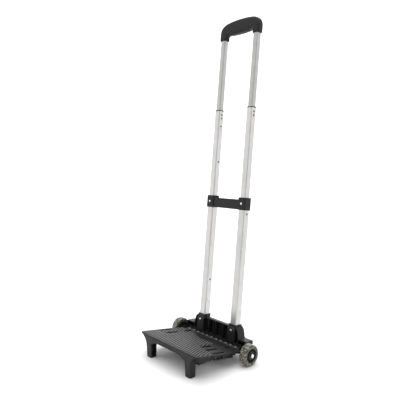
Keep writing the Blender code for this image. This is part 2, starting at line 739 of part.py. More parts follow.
def make_leg(side_name, side):
    """Front leg, lofted from a small foot to a wide flare under the deck's corner."""
    floor = -AXLE_Z
    rows = ((0.0000, 0.0755, 0.0965, -0.2078, -0.1880, 0.0),
            (0.0300, 0.0745, 0.0975, -0.2086, -0.1876, 0.0),
            (0.0430, 0.0732, 0.0995, -0.2091, -0.1872, 0.2),
            (0.0530, 0.0700, 0.1040, -0.2095, -0.1862, 0.5),
            (0.0600, 0.0640, 0.1110, -0.2097, -0.1840, 0.8),
            (0.0664, 0.0540, 0.1195, -0.2096, -0.1760, 1.0))
    sections = []
    for height, inner, outer, front, back, tilt in rows:
        outline = rounded_rectangle(outer - inner, back - front, 0.0022, 2)
        centre_x = side * (inner + outer) / 2
        centre_y = (front + back) / 2
        ring = []
        for px, py in outline:
            y = centre_y + py
            drop = tilt * (y - front) * math.tan(DECK_SLOPE)
            ring.append((centre_x + px, y + 0.0320, floor + height - drop))
        sections.append(ring)
    return upright(loft("deck_leg_" + side_name, sections))


def make_deck():
    """One moulding: load plate with slots, ribs, arched front, two legs and hinge knuckles.

    The strip under its front edge is solid; its weight keeps the empty truck from tipping back.
    """
    deck = prism("deck", [deck_outline(0.0)], DECK_TOP - DECK_LIP, DECK_TOP)
    core_low = DECK_TOP - DECK_CORE
    add(deck, prism("deck_core", [deck_outline(0.0070)], core_low, DECK_TOP - 0.0010), DECK)
    ribs = prism("deck_ribs", [deck_outline(0.0120)], core_low - 0.0090, core_low + 0.0010)
    pockets = []
    columns = 8
    rows = 5
    span_x = 0.2320
    span_y = 0.1440
    wall = 0.0034
    for column in range(columns):
        for row in range(1, rows):
            x = -span_x / 2 + span_x * column / columns
            y = DECK_FRONT + 0.0140 + span_y * row / rows
            pockets.append(((x + wall / 2, y + wall / 2, core_low - 0.020),
                            (x + span_x / columns - wall / 2, y + span_y / rows - wall / 2, core_low)))
    cut(ribs, boxes("deck_rib_pockets", pockets), DECK)
    add(deck, ribs, DECK)

    floor = -AXLE_Z
    arch = []
    for step in range(0, 13):
        x = 0.0750 - 0.1500 * step / 12
        arch.append((x, 0.0600 - 3.0 * x * x))
    arch = [(-0.0780, 0.0430), (-0.0780, 0.0667), (0.0780, 0.0667), (0.0780, 0.0430)] + arch
    arch = [(x, z + floor) for x, z in arch]
    add(deck, upright(prism("deck_arch", [arch[::-1]], -0.2093 + 0.0320, -0.2016 + 0.0320, "Y")), DECK)
    for side_name, side in SIDES:
        add(deck, make_leg(side_name, side), DECK)
        low, high = sorted((side * 0.0600, side * 0.0850))
        pocket = boxes("deck_leg_pocket_" + side_name,
                       [((low, -0.2030 + 0.0320, floor + 0.0050), (high, -0.1915 + 0.0320, floor + 0.0450))])
        cut(deck, upright(pocket), DECK)
        low, high = sorted((side * 0.0940, side * 0.1070))
        stop = boxes("deck_stop_block_" + side_name,
                     [((low, -0.1840 + 0.0320, floor + 0.0340), (high, -0.1600 + 0.0320, floor + 0.0560))])
        add(deck, upright(stop), DECK)
        low, high = sorted((side * 0.1080, side * 0.1120))
        hook = prism("deck_cord_hook_" + side_name,
                     [[(-0.1100 + 0.0320, floor + 0.0280), (-0.1050 + 0.0320, floor + 0.0280),
                       (-0.1030 + 0.0320, floor + 0.0340), (-0.0900 + 0.0320, floor + 0.0340),
                       (-0.0870 + 0.0320, floor + 0.0430), (-0.1100 + 0.0320, floor + 0.0470)]],
                     low, high, "X")
        add(deck, upright(hook), DECK)
        low, high = sorted((side * 0.1210, side * 0.1250))
        top = DECK_TOP - 0.0010
        loop = prism("deck_strap_loop_" + side_name,
                     [[(-0.1180, top), (-0.1150, -0.0105), (-0.0800, -0.0105), (-0.0770, top),
                       (-0.0805, top), (-0.0825, -0.0080), (-0.1125, -0.0080), (-0.1145, top)]],
                     low, high, "X")
        add(deck, loop, DECK)

    half_bar = 5.0 * KNUCKLE_PITCH + DECK_KNUCKLE / 2
    bar = [(DECK_BACK - 0.0040, DECK_TOP - 0.0010), (DECK_BACK - 0.0040, -0.0060)]
    bar.append((-0.0040, -0.0080))
    for step in range(13):
        angle = math.radians(-100 + 240 * step / 12)
        bar.append((KNUCKLE_RADIUS * math.cos(angle), KNUCKLE_RADIUS * math.sin(angle)))
    add(deck, prism("deck_knuckles", [bar], -half_bar, half_bar, "X"), DECK)
    gaps = []
    for index in range(-6, 6):
        x = (index + 0.5) * KNUCKLE_PITCH
        half = KNUCKLE_PITCH / 2 - DECK_KNUCKLE / 2
        gaps.append(((x - half, -KNUCKLE_RADIUS - 0.0010, -0.020), (x + half, 0.020, 0.020)))
    cut(deck, boxes("deck_knuckle_gaps", gaps), DECK)

    slots = []
    for side in (-1, 1):
        slots.append((side * 0.1165, -0.0933, 0.0075, 0.0430))
        slots.append((side * 0.0870, -0.0890, 0.0085, 0.0450))
        slots.append((side * 0.0870, -0.0255, 0.0080, 0.0220))
    slots.append((0.0610, -0.0850, 0.0080, 0.0360))
    for index, (x, y, width, length) in enumerate(slots):
        outline = moved(rounded_rectangle(width, length, 0.0030), x, y)
        cut(deck, prism(f"deck_slot_{index}", [outline], -0.030, 0.030), DECK)
    drills = []
    for side in (-1, 1):
        drills += [(side * 0.1010, -0.0600), (side * 0.1120, -0.1500), (side * 0.0950, -0.1470)]
    drills.append((0.0410, -0.0853))
    spans = [((x, y, -0.030), (x, y, 0.030)) for x, y in drills]
    cut(deck, rods("deck_drills", 0.0018, spans, along="Z", segments=12), DECK)
    cut(deck, rods("deck_axle_bore", HINGE_BORE, [((-0.14, 0, 0), (0.14, 0, 0))]), DECK)
    plastic(deck, DECK)


# ---------------------------------------------------------------- axle and wheels
def make_axle():
    rod = rods("axle", AXLE_RADIUS, [((-AXLE_END, 0, 0), (AXLE_END, 0, 0))])
    metal(rod, AXLE)
    for side_name, side in SIDES:
        profile = [(0.0, 0.0164), (0.0030, 0.0161), (0.0050, 0.0150), (0.0056, 0.0136),
                   (0.0056, 0.0120), (HINGE_BORE, 0.0120), (HINGE_BORE, AXLE_END - WHEEL_X + GAP),
                   (0.0, AXLE_END - WHEEL_X + GAP)]
        cap = turned("axle_cap_" + side_name, profile, 20)
        cap.rotation_euler = (0, math.radians(90 * side), 0)
        metal(cap, AXLE, (side * WHEEL_X, 0, 0))
        low = -WHEEL_X + CHEEK_OUTER + GAP
        high = -BEARING_WIDTH - 0.0032 - GAP
        profile = [(0.0068, high), (0.0068, low), (HINGE_BORE, low), (HINGE_BORE, high)]
        spacer = turned("wheel_spacer_" + side_name, profile, 20)
        spacer.rotation_euler = (0, math.radians(90 * side), 0)
        metal(spacer, AXLE, (side * WHEEL_X, 0, 0))


def make_wheel(side_name, side):
    """Clear urethane tyre on a spoked hub with two ball bearings and a spacer between them."""
    frame = WHEELS[side_name]
    bore = HUB_RADIUS + GAP
    shoulder = WHEEL_RADIUS - 0.0060
    profile = [(bore, TYRE_HALF - 0.0010), (bore + 0.0010, TYRE_HALF), (shoulder - 0.0020, TYRE_HALF)]
    for step in range(4):
        angle = math.radians(90 - 90 * step / 3)
        profile.append((shoulder + 0.0060 * math.cos(angle) * 0.94,
                        TYRE_HALF - 0.0060 + 0.0060 * math.sin(angle)))
    profile.append((WHEEL_RADIUS, 0.0))
    profile += [(radius, -height) for radius, height in profile[-2::-1]]
    tyre = turned("tyre_" + side_name, profile, 32)
    tyre.rotation_euler = (0, math.radians(90 * side), 0)
    finish(tyre, frame, CLEAR_URETHANE, 0.2, 0.0)

    pocket = BEARING_RADIUS + GAP
    profile = [(HUB_RADIUS, HUB_HALF - 0.0006), (HUB_RADIUS, -HUB_HALF + 0.0006),
               (HUB_RADIUS - 0.0006, -HUB_HALF), (pocket, -HUB_HALF), (pocket, -0.0030 - GAP / 2),
               (0.0080, -0.0030 - GAP / 2), (0.0080, 0.0030 + GAP / 2), (pocket, 0.0030 + GAP / 2),
               (pocket, HUB_HALF), (HUB_RADIUS - 0.0006, HUB_HALF)]
    hub = turned("wheel_hub_" + side_name, profile, 36)
    hub.rotation_euler = (0, math.radians(90 * side), 0)
    windows = bmesh.new()
    for index in range(12):
        turn = Matrix.Rotation(math.radians(30 * index), 4, "X")
        place = turn @ Matrix.Translation((0, 0, 0.0150)) @ Matrix.Diagonal((0.040, 0.0038, 0.0042, 1))
        bmesh.ops.create_cube(windows, size=1, matrix=place)
    cut(hub, mesh_object("wheel_windows_" + side_name, windows), frame)
    plastic(hub, frame)

    for end_name, end in (("inner", -side), ("outer", side)):
        low = 0.0030 + GAP
        profile = [(BEARING_RADIUS, low + BEARING_WIDTH), (BEARING_RADIUS, low),
                   (HINGE_BORE, low), (HINGE_BORE, low + BEARING_WIDTH)]
        bearing = turned(f"wheel_bearing_{side_name}_{end_name}", profile, 24)
        bearing.rotation_euler = (0, math.radians(90 * end), 0)
        metal(bearing, frame)
    low = 0.0030
    profile = [(0.0060, low), (0.0060, -low), (HINGE_BORE, -low), (HINGE_BORE, low)]
    sleeve_piece = turned("bearing_spacer_" + side_name, profile, 16)
    sleeve_piece.rotation_euler = (0, math.radians(90), 0)
    metal(sleeve_piece, frame)


# ---------------------------------------------------------------- assembly
clear_scene()
PARTS = new_collection("luggage_hand_truck")
CUTTERS = new_collection("cutters")

AXLE_IN_POLE = ((AXLE_Y - POLE_Y) * math.cos(LEAN) - (AXLE_Z - BRACKET_TOP_Z) * math.sin(LEAN),
                (AXLE_Y - POLE_Y) * math.sin(LEAN) + (AXLE_Z - BRACKET_TOP_Z) * math.cos(LEAN))
POLE = frame_empty("pole_frame", (0, POLE_Y, BRACKET_TOP_Z), -LEAN)
MIDDLE_STAGE = frame_empty("middle_stage_frame", (0, 0, 0), 0, POLE)
TOP_STAGE = frame_empty("top_stage_frame", (0, 0, 0), 0, MIDDLE_STAGE)
BUTTON = frame_empty("button_frame", (0, 0, 0), 0, TOP_STAGE)
DECK = frame_empty("deck_frame", (0, AXLE_Y, AXLE_Z), -DECK_SLOPE)
AXLE = frame_empty("axle_frame", (0, AXLE_Y, AXLE_Z), 0)
WHEELS = {name: frame_empty("wheel_frame_" + name, (side * WHEEL_X, AXLE_Y, AXLE_Z), 0)
          for name, side in SIDES}
POLE_FRAMES = {}

make_bracket()
make_crossbar()
make_deck()
make_axle()
make_grip()
make_release()
for side_label, side_sign in SIDES:
    make_tubes(side_label, side_sign)
    make_bushes(side_label, side_sign)
    make_stop_pins(side_label, side_sign)
    make_lock(side_label, side_sign, "middle", MIDDLE_STAGE, MIDDLE, OUTER, MIDDLE_FOOT, MIDDLE_PIN)
    make_lock(side_label, side_sign, "top", TOP_STAGE, TOP, MIDDLE, TOP_FOOT, TOP_PIN)
    make_wheel(side_label, side_sign)
bpy.context.view_layer.update()
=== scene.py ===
"""Looks of the folding luggage hand truck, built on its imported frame."""
import json
import math

import bmesh
import bpy
from mathutils import Matrix, Vector


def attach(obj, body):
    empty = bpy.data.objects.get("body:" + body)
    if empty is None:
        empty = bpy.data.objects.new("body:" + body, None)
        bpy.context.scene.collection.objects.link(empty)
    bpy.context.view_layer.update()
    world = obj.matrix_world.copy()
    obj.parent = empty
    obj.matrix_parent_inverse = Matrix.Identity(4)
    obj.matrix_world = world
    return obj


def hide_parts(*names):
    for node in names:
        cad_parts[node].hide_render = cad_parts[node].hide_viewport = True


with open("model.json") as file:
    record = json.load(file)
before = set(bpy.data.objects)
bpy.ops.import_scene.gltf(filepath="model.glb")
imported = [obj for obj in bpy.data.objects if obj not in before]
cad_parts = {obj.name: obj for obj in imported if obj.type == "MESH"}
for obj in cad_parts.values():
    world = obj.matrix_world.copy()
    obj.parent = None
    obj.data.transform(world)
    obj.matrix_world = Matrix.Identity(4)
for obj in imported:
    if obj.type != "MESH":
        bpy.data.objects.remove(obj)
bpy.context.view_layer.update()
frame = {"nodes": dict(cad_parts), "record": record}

# ---------------------------------------------------------------- layout shared by all pieces
LEAN = math.radians(5.76)
POLE_Y = 0.0535
BRACKET_TOP_Z = 0.0903
POLE_X = 0.06675
AXLE_Y = POLE_Y - 0.0320
AXLE_Z = 0.0305
DECK_SLOPE = math.radians(10.4)
DECK_TOP = 0.0050
DECK_FRONT = -0.1813
DECK_BACK = -0.0115
DECK_FRONT_HALF = 0.1260
DECK_BACK_HALF = 0.1300
SLOT_CORNER = 0.0030
SLOT_MARGIN = 0.0038          # plain border round each slot
RIB_PITCH = 0.0085
KNUCKLE_PITCH = 0.0200
WHEEL_X = 0.1484
WHEEL_RADIUS = 0.0305
TYRE_HALF = 0.0120
OUTER_WIDTH = 0.0250
MIDDLE_WIDTH = 0.0215
CROSS_HOLE = 0.1110           # heights along the poles, from the bracket's top
MIDDLE_PIN = 0.3310
MIDDLE_HEAD = 0.6480
GRIP_HALF_DEPTH = 0.0110
CAMERA_HEADING = math.radians(47.2)
SIDES = (("left", -1), ("right", 1))

POLE = Matrix.Translation((0, POLE_Y, BRACKET_TOP_Z)) @ Matrix.Rotation(-LEAN, 4, "X")
DECK = Matrix.Translation((0, AXLE_Y, AXLE_Z)) @ Matrix.Rotation(-DECK_SLOPE, 4, "X")

# a flat outline's (u, v, height) turned so that its height runs along X, or along Y
ALONG_X = Matrix(((0, 0, 1, 0), (1, 0, 0, 0), (0, 1, 0, 0), (0, 0, 0, 1)))
ALONG_Y = Matrix(((1, 0, 0, 0), (0, 0, 1, 0), (0, 1, 0, 0), (0, 0, 0, 1)))


# ---------------------------------------------------------------- materials
class Nodes:
    """Short hand for building one material's node tree."""

    def __init__(self, name):
        self.material = bpy.data.materials.new(name)
        self.material.use_nodes = True
        self.tree = self.material.node_tree
        self.shader = self.tree.nodes["Principled BSDF"]
        self.coordinates = self.tree.nodes.new("ShaderNodeTexCoord").outputs["Object"]

    def stretched(self, scale, turn=(0, 0, 0)):
        mapping = self.tree.nodes.new("ShaderNodeMapping")
        mapping.inputs["Scale"].default_value = scale
        mapping.inputs["Rotation"].default_value = turn
        self.tree.links.new(self.coordinates, mapping.inputs["Vector"])
        return mapping.outputs["Vector"]

    def noise(self, scale, detail=3.0, vector=None, roughness=0.55):
        node = self.tree.nodes.new("ShaderNodeTexNoise")
        node.inputs["Scale"].default_value = scale
        node.inputs["Detail"].default_value = detail
        node.inputs["Roughness"].default_value = roughness
        self.tree.links.new(vector or self.coordinates, node.inputs["Vector"])
        return node.outputs["Fac"]

    def cells(self, scale, output="Color", vector=None):
        node = self.tree.nodes.new("ShaderNodeTexVoronoi")
        node.inputs["Scale"].default_value = scale
        self.tree.links.new(vector or self.coordinates, node.inputs["Vector"])
        return node.outputs[output]

    def spread(self, value, low, high, start=0.3, end=0.7):
        node = self.tree.nodes.new("ShaderNodeMapRange")
        node.inputs["From Min"].default_value = start
        node.inputs["From Max"].default_value = end
        node.inputs["To Min"].default_value = low
        node.inputs["To Max"].default_value = high
        self.tree.links.new(value, node.inputs["Value"])
        return node.outputs["Result"]

    def ramp(self, value, stops):
        node = self.tree.nodes.new("ShaderNodeValToRGB")
        elements = node.color_ramp.elements
        elements[0].position, elements[0].color = stops[0]
        elements[1].position, elements[1].color = stops[-1]
        for position, colour in stops[1:-1]:
            element = elements.new(position)
            element.color = colour
        self.tree.links.new(value, node.inputs["Fac"])
        return node.outputs["Color"]

    def link(self, value, socket):
        self.tree.links.new(value, self.shader.inputs[socket])

    def bump(self, height, strength, distance):
        node = self.tree.nodes.new("ShaderNodeBump")
        node.inputs["Strength"].default_value = strength
        node.inputs["Distance"].default_value = distance
        self.tree.links.new(height, node.inputs["Height"])
        self.tree.links.new(node.outputs["Normal"], self.shader.inputs["Normal"])

    def set(self, **values):
        for key, value in values.items():
            self.shader.inputs[key.replace("_", " ")].default_value = value
        return self.material


def grey(value, warm=0.0):
    return (value * (1 + warm), value, value * (1 - warm), 1.0)


def anodised(name, low, high):
    """Drawn aluminium: fine lines along the tube, slightly cloudy satin anodising."""
    nodes = Nodes(name)
    lines = nodes.noise(900.0, 4.0, nodes.stretched((1.0, 1.0, 0.012)))
    clouds = nodes.noise(38.0, 3.0)
    nodes.link(nodes.ramp(clouds, ((0.25, grey(low, 0.008)), (0.75, grey(high, 0.008)))), "Base Color")
    nodes.link(nodes.spread(lines, 0.26, 0.40), "Roughness")
    nodes.bump(lines, 0.08, 0.0002)
    return nodes.set(Metallic=1.0, Anisotropic=0.35)


def moulded(name, low, high, rough_low, rough_high, grain, depth, tint=0.0):
    """Injection-moulded black plastic with a fine spark-eroded grain."""
    nodes = Nodes(name)
    fine = nodes.noise(grain, 4.0)
    broad = nodes.noise(24.0, 4.0)
    nodes.link(nodes.ramp(broad, ((0.25, grey(low, tint)), (0.75, grey(high, tint)))), "Base Color")
    nodes.link(nodes.spread(broad, rough_low, rough_high), "Roughness")
    nodes.bump(fine, 0.25, depth)
    return nodes.set(Metallic=0.0, Specular_IOR_Level=0.24)


def steel(name, low, high, rough_low, rough_high):
    nodes = Nodes(name)
    brushed = nodes.noise(700.0, 3.0, nodes.stretched((0.05, 1.0, 1.0)))
    patches = nodes.noise(120.0, 3.0)
    nodes.link(nodes.ramp(patches, ((0.3, grey(low, 0.01)), (0.7, grey(high, 0.01)))), "Base Color")
    nodes.link(nodes.spread(brushed, rough_low, rough_high), "Roughness")
    nodes.bump(brushed, 0.1, 0.0001)
    return nodes.set(Metallic=1.0)


def glitter_urethane():
    """Cast smoky urethane full of pale metallic flecks."""
    nodes = Nodes("glitter_urethane")
    flecks = nodes.cells(620.0)
    haze = nodes.noise(90.0, 3.0)
    mix = nodes.tree.nodes.new("ShaderNodeMix")
    mix.data_type = "RGBA"
    mix.blend_type = "MULTIPLY"
    mix.inputs["Factor"].default_value = 1.0
    split = nodes.tree.nodes.new("ShaderNodeSeparateColor")
    nodes.tree.links.new(flecks, split.inputs["Color"])
    fleck_tones = ((0.0, (0.020, 0.020, 0.014, 1)), (0.50, (0.060, 0.060, 0.042, 1)),
                   (0.80, (0.16, 0.16, 0.115, 1)), (1.0, (0.62, 0.62, 0.52, 1)))
    speck = nodes.ramp(split.outputs["Red"], fleck_tones)
    cloud = nodes.ramp(haze, ((0.3, grey(0.62, 0.03)), (0.7, grey(1.0, 0.0))))
    nodes.tree.links.new(speck, mix.inputs["A"])
    nodes.tree.links.new(cloud, mix.inputs["B"])
    nodes.link(mix.outputs["Result"], "Base Color")
    nodes.link(nodes.spread(split.outputs["Green"], 0.12, 0.40, 0.0, 1.0), "Roughness")
    nodes.link(nodes.spread(split.outputs["Blue"], 0.0, 0.55, 0.6, 1.0), "Metallic")
    nodes.bump(haze, 0.05, 0.0003)
    return nodes.set(Transmission_Weight=0.15, IOR=1.48, Coat_Weight=0.3, Coat_Roughness=0.12)


MATERIALS = {
    "anodised_aluminium": anodised("anodised_aluminium", 0.53, 0.61),
    "black_nylon": moulded("black_nylon", 0.010, 0.016, 0.38, 0.50, 2600.0, 0.00008),
    "grip_plastic": moulded("grip_plastic", 0.009, 0.014, 0.42, 0.52, 3200.0, 0.00006),
    "black_moulding": moulded("black_moulding", 0.009, 0.014, 0.36, 0.48, 2600.0, 0.00006),
    "zinc_plated": steel("zinc_plated", 0.72, 0.88, 0.16, 0.30),
    "steel": steel("steel", 0.05, 0.09, 0.30, 0.46),
    "clear_urethane": glitter_urethane(),
}


# finishes that differ from the rest of their slot: upper tubes; pale nylon painted on rib and knuckle
# crests as their highlights; near-black nylon painted in grooves, slots and holes as the shade in them
DULL_ANODISED = anodised("dull_anodised_aluminium", 0.40, 0.47)
# pale nylon: painted highlight on the crests of the deck's ribs and hinge knuckles
HIGHLIGHT_NYLON = moulded("painted_highlight_nylon", 0.110, 0.160, 0.30, 0.42, 2600.0, 0.00004)
# near-black nylon: painted shade in the deck's grooves and slots and in the tubes' holes
SHADED_NYLON = moulded("shaded_nylon", 0.002, 0.004, 0.60, 0.70, 2600.0, 0.00004)


def paint(piece, slot, finish=None):
    """Gives a piece the finish of one of the record's material slots, or its own kind of it."""
    piece.data.materials.clear()
    piece.data.materials.append(finish or MATERIALS[slot])


def smooth(piece, degrees=35):
    piece.data.shade_smooth()
    piece.data.set_sharp_from_angle(angle=math.radians(degrees))


def soften(piece, width, segments=2, degrees=40):
    """Small moulded radius on every sharp edge."""
    bevel = piece.modifiers.new("edge_radius", "BEVEL")
    bevel.width = width
    bevel.segments = segments
    bevel.limit_method = "ANGLE"
    bevel.angle_limit = math.radians(degrees)
    bevel.use_clamp_overlap = True
    bevel.harden_normals = True
    return bevel


def dress_cad_nodes():
    """Finish of every CAD node as its slot in the record says."""
    for row in frame["record"]["subparts"]:
        node = frame["nodes"][row["node"]]
        slot = row["material_slot"]
        node.data.materials.clear()
        dull = row["node"].startswith("top_tube")
        node.data.materials.append(DULL_ANODISED if dull else MATERIALS[slot])
        smooth(node)


# ---------------------------------------------------------------- shapes
def bridge(bm, here, there):
    """Band of faces between two closed rings of as many vertices."""
    count = len(here)
    for index in range(count):
        after = (index + 1) % count
        bm.faces.new((here[index], here[after], there[after], there[index]))


def placed(name, bm, matrix, slot, body, replaces=(), degrees=35, finish=None):
    bmesh.ops.recalc_face_normals(bm, faces=bm.faces)
    mesh = bpy.data.meshes.new(name)
    bm.to_mesh(mesh)
    bm.free()
    mesh.transform(matrix)
    piece = bpy.data.objects.new(name, mesh)
    bpy.context.scene.collection.objects.link(piece)
    paint(piece, slot, finish)
    smooth(piece, degrees)
    if replaces:
        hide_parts(*replaces)
    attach(piece, body)
    return piece


def spin(bm, profile, segments, matrix):
    """Turns a closed profile of (radius, height) pairs about the X axis of a matrix."""
    rings = []
    for index in range(segments):
        angle = 2 * math.pi * index / segments
        ring = []
        for radius, height in profile:
            point = Vector((height, radius * math.cos(angle), radius * math.sin(angle)))
            ring.append(bm.verts.new(matrix @ point))
        rings.append(ring)
    for here, there in zip(rings, rings[1:] + rings[:1]):
        bridge(bm, here, there)


def plate(bm, outline, low, high, matrix):
    """Straight-sided solid over a flat outline of (u, v) pairs, between two heights."""
    lower = [bm.verts.new(matrix @ Vector((u, v, low))) for u, v in outline]
    upper = [bm.verts.new(matrix @ Vector((u, v, high))) for u, v in outline]
    bm.faces.new(lower[::-1])
    bm.faces.new(upper)
    bridge(bm, lower, upper)


# ---------------------------------------------------------------- wheels
def make_tyre(name, outside):
    """Cast tyre with a crowned tread and a shallow groove in its side wall."""
    profile = [(0.0200, 0.0098), (0.0204, 0.0108), (0.0212, 0.0115), (0.0222, 0.0117), (0.0228, 0.0113),
               (0.0234, 0.0117), (0.0244, 0.0119)]
    for step in range(9):
        angle = math.radians(90 * step / 8)
        profile.append((0.0250 + (WHEEL_RADIUS - 0.0252) * math.sin(angle),
                        0.0060 + (TYRE_HALF - 0.0060) * math.cos(angle)))
    profile.append((WHEEL_RADIUS, 0.0030))
    profile += [(r, -h) for r, h in [(WHEEL_RADIUS, 0.0), *profile[::-1]]]
    bm = bmesh.new()
    spin(bm, profile, 96, outside)
    placed("tyre_skin_" + name, bm, Matrix.Identity(4), "clear_urethane", "wheel_" + name,
           ["tyre_" + name])


def mirrored(half_profile):
    """A profile with its own mirror image, for a turned piece that is the same on both sides."""
    return half_profile + [(radius, -height) for radius, height in half_profile[::-1]]


def make_hub(name, outside):
    """Hub of a rim, a thin web, twelve spokes and a boss."""
    bm = bmesh.new()
    rim = mirrored([(0.0199, 0.0098), (0.0195, 0.0104), (0.0186, 0.0106), (0.0180, 0.0102),
                    (0.0178, 0.0092)])
    spin(bm, rim, 72, outside)
    web = [(0.0181, 0.0004), (0.0110, 0.0004), (0.0110, -0.0024), (0.0181, -0.0024)]
    spin(bm, web, 72, outside)
    boss = [(0.0120, 0.0092), (0.0118, 0.0100), (0.0112, 0.0104), (0.0078, 0.0104), (0.0074, 0.0100)]
    spin(bm, mirrored(boss), 48, outside)
    for index in range(12):
        turn = Matrix.Rotation(math.radians(30 * index + 15), 4, "X")
        for half_width, reach in ((0.0011, 0.0090), (0.0020, 0.0030)):
            near, far = half_width * 0.9, half_width * 1.3
            outline = [(-near, 0.0114), (near, 0.0114), (far, 0.0184), (-far, 0.0184)]
            plate(bm, outline, -reach, reach, outside @ turn @ ALONG_X)
    hub = placed("hub_" + name, bm, Matrix.Identity(4), "black_nylon", "wheel_" + name,
                 ["wheel_hub_" + name])
    soften(hub, 0.0003)


def make_wheel(name, side):
    centre = Matrix.Translation((side * WHEEL_X, AXLE_Y, AXLE_Z))
    outside = centre @ Matrix.Diagonal((side, 1, 1, 1))
    make_tyre(name, outside)
    make_hub(name, outside)


# ---------------------------------------------------------------- deck ribs
def deck_half_width(y):
    share = (y - DECK_FRONT) / (DECK_BACK - DECK_FRONT)
    return DECK_FRONT_HALF + (DECK_BACK_HALF - DECK_FRONT_HALF) * share


SLOTS = [(0.0610, -0.0850, 0.0080, 0.0360)]
for sign in (-1, 1):
    SLOTS += [(sign * 0.1165, -0.0933, 0.0075, 0.0430), (sign * 0.0870, -0.0890, 0.0085, 0.0450),
              (sign * 0.0870, -0.0255, 0.0080, 0.0220)]


def in_smooth_patch(x, y):
    """The plain areas: a landing at the back with a slanting front edge, and the right side's rear."""
    s = y - DECK_FRONT
    if s > 0.176 or (x > 0.050 and s > 0.074):
        return True
    edge = ((-0.090, 0.186), (-0.073, 0.174), (-0.043, 0.153), (-0.006, 0.135), (0.046, 0.139),
            (0.080, 0.152), (0.100, 0.176))
    for (x0, s0), (x1, s1) in zip(edge, edge[1:]):
        if x0 <= x < x1:
            return s > s0 + (s1 - s0) * (x - x0) / (x1 - x0)
    return False


def ribbed(x, y):
    """Whether the deck's ribs cover this point of its top."""
    if not DECK_FRONT + 0.0060 < y < DECK_BACK - 0.0030:
        return False
    if abs(x) > deck_half_width(y) - 0.0050:
        return False
    corner_x = deck_half_width(y) - 0.0140
    corner_y = DECK_FRONT + 0.0150
    if abs(x) > corner_x and y < corner_y and math.hypot(abs(x) - corner_x, y - corner_y) > 0.0090:
        return False
    for centre_x, centre_y, width, length in SLOTS:
        near_x = abs(x - centre_x) < width / 2 + SLOT_MARGIN
        if near_x and abs(y - centre_y) < length / 2 + SLOT_MARGIN:
            return False
    return not in_smooth_patch(x, y)


def rib_runs(lean, offset):
    """Stretches of parallel lines over the ribbed area, as pairs of end points."""
    slope = math.tan(lean)
    step = 0.0006
    runs = []
    count = int(0.30 / RIB_PITCH)
    for index in range(-count, count + 1):
        start = None
        y = DECK_FRONT
        last = None
        while y < DECK_BACK:
            x = offset + index * RIB_PITCH + (y - DECK_FRONT) * slope
            inside = ribbed(x, y)
            if inside and start is None:
                start = (x, y)
            if start is not None and not inside:
                runs.append((start, last))
                start = None
            last = (x, y)
            y += step
        if start is not None:
            runs.append((start, last))
    return [(a, b) for a, b in runs if math.dist(a, b) > 0.002]


def make_rib_family(name, lean, offset, width, height, crown, finish):
    """Parallel raised bars over the ribbed area, with sloping flanks."""
    bm = bmesh.new()
    for (x0, y0), (x1, y1) in rib_runs(lean, offset):
        along = Vector((x1 - x0, y1 - y0)).normalized()
        across = Vector((-along.y, along.x)) * width / 2
        rows = ((1.0, 0.0), (crown, height), (-crown, height), (-1.0, 0.0))
        ends = []
        for (x, y), tuck in (((x0, y0), 1), ((x1, y1), -1)):
            ring = []
            for spread, z in rows:
                shift = along * tuck * (0.0004 if z else 0.0)
                ring.append(bm.verts.new((x + across.x * spread + shift.x,
                                          y + across.y * spread + shift.y,
                                          DECK_TOP - 0.00010 + z)))
            ends.append(ring)
        for index in range(3):
            bm.faces.new((ends[0][index], ends[0][index + 1], ends[1][index + 1], ends[1][index]))
        bm.faces.new(ends[0][::-1])
        bm.faces.new(ends[1])
        bm.faces.new((ends[0][3], ends[0][0], ends[1][0], ends[1][3]))
    placed(name, bm, DECK, "black_nylon", "platform", degrees=20, finish=finish)


def make_ribs():
    """Diamond ribs: a bold family with pale painted highlights on top, near-black painted shade in the
    grooves between, a fine family across.
    """
    bold = math.radians(-26)
    # bold ribs coloured pale as painted highlight
    make_rib_family("deck_ribs", bold, 0.0, 0.0033, 0.00110, 0.60, HIGHLIGHT_NYLON)
    # flat near-black strips between the bold ribs: painted shade in the grooves
    make_rib_family("deck_groove_shade", bold, RIB_PITCH / 2, 0.0043, 0.00025, 0.92, SHADED_NYLON)
    make_rib_family("deck_cross_ribs", -bold, 0.0, 0.0009, 0.00050, 0.45, None)


def make_knuckle_highlights():
    """Pale painted highlight stripe along the crown of each of the deck's hinge knuckles."""
    bm = bmesh.new()
    angles = [math.radians(96 + 9 * step) for step in range(5)]
    outline = [(0.0092 * math.cos(a), 0.0092 * math.sin(a)) for a in angles]
    outline += [(0.0086 * math.cos(a), 0.0086 * math.sin(a)) for a in angles[::-1]]
    for index in range(-5, 6):
        middle = index * KNUCKLE_PITCH
        plate(bm, outline, middle - 0.0030, middle + 0.0030, ALONG_X)
    placed("deck_knuckle_highlights", bm, DECK, "black_nylon", "platform", finish=HIGHLIGHT_NYLON)


def make_slot_rims():
    """Low raised rim round each slot of the deck."""
    bm = bmesh.new()
    for centre_x, centre_y, width, length in SLOTS:
        loops = []
        for margin, height in ((0.0001, 0.0), (0.0002, 0.0004), (0.0009, 0.0004), (0.0013, 0.0)):
            ring = []
            half_w = width / 2 + margin
            half_l = length / 2 + margin
            corner = SLOT_CORNER + margin
            for quarter in range(4):
                corner_x = (half_w - corner) * (1 if quarter in (0, 3) else -1)
                corner_y = (half_l - corner) * (1 if quarter in (0, 1) else -1)
                for step in range(5):
                    angle = math.radians(90 * quarter + 90 * step / 4)
                    ring.append(bm.verts.new((centre_x + corner_x + corner * math.cos(angle),
                                              centre_y + corner_y + corner * math.sin(angle),
                                              DECK_TOP - 0.0001 + height)))
            loops.append(ring)
        for inner, outer in zip(loops, loops[1:]):
            bridge(bm, inner, outer)
    placed("deck_slot_rims", bm, DECK, "black_nylon", "platform")


